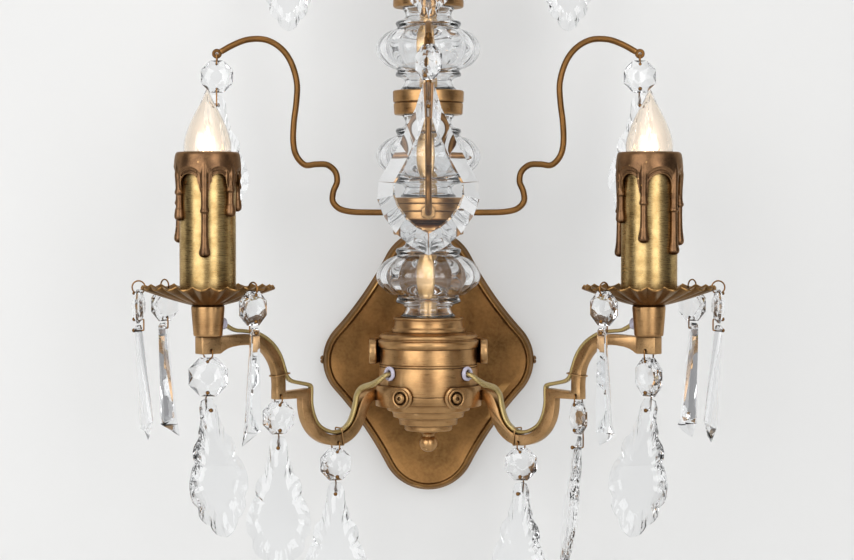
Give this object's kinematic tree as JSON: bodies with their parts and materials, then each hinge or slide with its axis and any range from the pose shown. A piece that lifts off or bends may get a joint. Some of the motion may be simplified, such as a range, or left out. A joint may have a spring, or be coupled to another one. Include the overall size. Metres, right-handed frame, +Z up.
{
  "type": "wall chandelier",
  "caption": "Brass wall light with S-shaped arms, tall candle sleeves, a stacked ribbed-glass column and swinging cut-glass drops.",
  "frame": {"origin": "centre of the wall bracket's back face, on the wall", "axes": "+Y into the wall, -Y out into the room, +Z up, +X to the right as seen from the room"},
  "size_m": [0.458, 0.256, 0.6041],
  "materials": {
    "bare_steel": "plain rolled steel",
    "aged_plate_brass": "brushed and darkened with age",
    "aged_brass": "satin cast and turned brass, slightly tarnished",
    "dark_bronze": "dark patina, rubbed bright on the edges",
    "bronze_wire": "drawn rod with a brown patina",
    "greenish_brass": "rolled tube, brushed round, slightly green",
    "clear_crystal": "clear pressed and cut glass, polished",
    "bulb_glass": "clear blown glass",
    "gold_cable": "gold transparent twin cable",
    "clear_plastic": "translucent white plastic",
    "holder_plastic": "moulded heat-proof plastic",
    "nickel": "nickel-plated sheet brass"
  },
  "bodies": {
    "fixture": {"wall_bracket": "bare_steel", "backplate": "aged_plate_brass", "backplate_screws": "dark_bronze", "yoke": "aged_brass", "body_cup": "aged_brass", "body_cover": "aged_brass", "glass_seat": "aged_brass", "bottom_finial": "aged_brass", "threaded_rod": "bare_steel", "column_tube": "aged_brass", "vase_lower": "clear_crystal", "vase_middle": "clear_crystal", "vase_upper": "clear_crystal", "collar_lower": "aged_brass", "collar_middle": "aged_brass", "collar_upper": "aged_brass", "top_cap": "aged_brass", "top_finial": "clear_crystal", "arm_left": "aged_brass", "arm_right": "aged_brass", "arm_screws": "aged_brass", "cable_left": "gold_cable", "cable_right": "gold_cable", "cable_bushings": "clear_plastic", "cable_ties": "dark_bronze", "candle_cups": "aged_brass", "drip_pan_left": "aged_brass", "drip_pan_right": "aged_brass", "lamp_holders": "holder_plastic", "wire_lower_left": "bronze_wire", "wire_lower_right": "bronze_wire", "wire_lower_front": "bronze_wire", "wires_upper": "bronze_wire", "wire_nuts": "aged_brass"},
    "sleeve_left": {"sleeve_left": "greenish_brass", "drip_collar_left": "dark_bronze", "wax_drips_left": "dark_bronze"},
    "sleeve_right": {"sleeve_right": "greenish_brass", "drip_collar_right": "dark_bronze", "wax_drips_right": "dark_bronze"},
    "bulb_left": {"bulb_left": "bulb_glass", "bulb_base_left": "nickel"},
    "bulb_right": {"bulb_right": "bulb_glass", "bulb_base_right": "nickel"},
    "drop_left_outer": {"drop_left_outer": "clear_crystal"},
    "drop_left_back": {"drop_left_back": "clear_crystal"},
    "drop_left_front": {"drop_left_front": "clear_crystal"},
    "drop_right_outer": {"drop_right_outer": "clear_crystal"},
    "drop_right_back": {"drop_right_back": "clear_crystal"},
    "drop_right_front": {"drop_right_front": "clear_crystal"},
    "drop_left_boss": {"drop_left_boss": "clear_crystal"},
    "drop_right_boss": {"drop_right_boss": "clear_crystal"},
    "drop_left_step": {"drop_left_step": "clear_crystal"},
    "drop_right_step": {"drop_right_step": "clear_crystal"},
    "drop_left_bend": {"drop_left_bend": "clear_crystal"},
    "drop_right_bend": {"drop_right_bend": "clear_crystal"},
    "drop_wire_left": {"drop_wire_left": "clear_crystal"},
    "drop_wire_right": {"drop_wire_right": "clear_crystal"},
    "drop_wire_front": {"drop_wire_front": "clear_crystal"},
    "drop_top_left": {"drop_top_left": "clear_crystal"},
    "drop_top_right": {"drop_top_right": "clear_crystal"},
    "drop_top_front": {"drop_top_front": "clear_crystal"}
  },
  "joints": [
    {"name": "sleeve_left_lift", "type": "slide", "parent": "fixture", "child": "sleeve_left", "axis": [0, 0, 1], "range_m": [0, 0.12]},
    {"name": "bulb_left_unscrew", "type": "slide", "parent": "fixture", "child": "bulb_left", "axis": [0, 0, 1], "range_m": [0, 0.026]},
    {"name": "sleeve_right_lift", "type": "slide", "parent": "fixture", "child": "sleeve_right", "axis": [0, 0, 1], "range_m": [0, 0.12]},
    {"name": "bulb_right_unscrew", "type": "slide", "parent": "fixture", "child": "bulb_right", "axis": [0, 0, 1], "range_m": [0, 0.026]},
    {"name": "drop_left_outer_swing", "type": "hinge", "parent": "fixture", "child": "drop_left_outer", "pos_m": [-0.2184, -0.16603, 0.06641], "axis": [0, -1, 0], "range_deg": [-12, 8]},
    {"name": "drop_left_back_swing", "type": "hinge", "parent": "fixture", "child": "drop_left_back", "pos_m": [-0.20422, -0.1318, 0.06641], "axis": [-0.7071, -0.7071, 0], "range_deg": [-12, 8]},
    {"name": "drop_left_front_swing", "type": "hinge", "parent": "fixture", "child": "drop_left_front", "pos_m": [-0.13578, -0.20025, 0.06641], "axis": [0.7071, 0.7071, 0], "range_deg": [-12, 8]},
    {"name": "drop_left_boss_swing", "type": "hinge", "parent": "fixture", "child": "drop_left_boss", "pos_m": [-0.17, -0.16603, 0.0182], "axis": [-0.5736, 0.8192, 0], "range_deg": [-4, 12]},
    {"name": "drop_left_step_swing", "type": "hinge", "parent": "fixture", "child": "drop_left_step", "pos_m": [-0.11823, -0.12978, -0.0196], "axis": [-0.5736, 0.8192, 0], "range_deg": [-3, 5]},
    {"name": "drop_left_bend_swing", "type": "hinge", "parent": "fixture", "child": "drop_left_bend", "pos_m": [-0.0744, -0.09909, -0.0598], "axis": [-0.5736, 0.8192, 0], "range_deg": [-8, 3]},
    {"name": "drop_right_outer_swing", "type": "hinge", "parent": "fixture", "child": "drop_right_outer", "pos_m": [0.2184, -0.16603, 0.06641], "axis": [0, 1, 0], "range_deg": [-12, 8]},
    {"name": "drop_right_back_swing", "type": "hinge", "parent": "fixture", "child": "drop_right_back", "pos_m": [0.20422, -0.1318, 0.06641], "axis": [-0.7071, 0.7071, 0], "range_deg": [-12, 8]},
    {"name": "drop_right_front_swing", "type": "hinge", "parent": "fixture", "child": "drop_right_front", "pos_m": [0.13578, -0.20025, 0.06641], "axis": [0.7071, -0.7071, 0], "range_deg": [-12, 8]},
    {"name": "drop_right_boss_swing", "type": "hinge", "parent": "fixture", "child": "drop_right_boss", "pos_m": [0.17, -0.16603, 0.0182], "axis": [0.5736, 0.8192, 0], "range_deg": [-12, 4]},
    {"name": "drop_right_step_swing", "type": "hinge", "parent": "fixture", "child": "drop_right_step", "pos_m": [0.11823, -0.12978, -0.0196], "axis": [0.5736, 0.8192, 0], "range_deg": [-5, 3]},
    {"name": "drop_right_bend_swing", "type": "hinge", "parent": "fixture", "child": "drop_right_bend", "pos_m": [0.0744, -0.09909, -0.0598], "axis": [0.5736, 0.8192, 0], "range_deg": [-3, 8]},
    {"name": "drop_wire_left_swing", "type": "hinge", "parent": "fixture", "child": "drop_wire_left", "pos_m": [-0.1712, -0.075, 0.2526], "axis": [0, 1, 0], "range_deg": [-15, 15]},
    {"name": "drop_wire_right_swing", "type": "hinge", "parent": "fixture", "child": "drop_wire_right", "pos_m": [0.1712, -0.075, 0.2526], "axis": [0, 1, 0], "range_deg": [-15, 15]},
    {"name": "drop_wire_front_swing", "type": "hinge", "parent": "fixture", "child": "drop_wire_front", "pos_m": [0, -0.2462, 0.2526], "axis": [1, 0, 0], "range_deg": [-15, 15]},
    {"name": "drop_top_left_swing", "type": "hinge", "parent": "fixture", "child": "drop_top_left", "pos_m": [-0.1132, -0.075, 0.3861], "axis": [0, 1, 0], "range_deg": [-15, 15]},
    {"name": "drop_top_right_swing", "type": "hinge", "parent": "fixture", "child": "drop_top_right", "pos_m": [0.1132, -0.075, 0.3861], "axis": [0, 1, 0], "range_deg": [-15, 15]},
    {"name": "drop_top_front_swing", "type": "hinge", "parent": "fixture", "child": "drop_top_front", "pos_m": [0, -0.1882, 0.3861], "axis": [1, 0, 0], "range_deg": [-15, 15]}
  ]
}
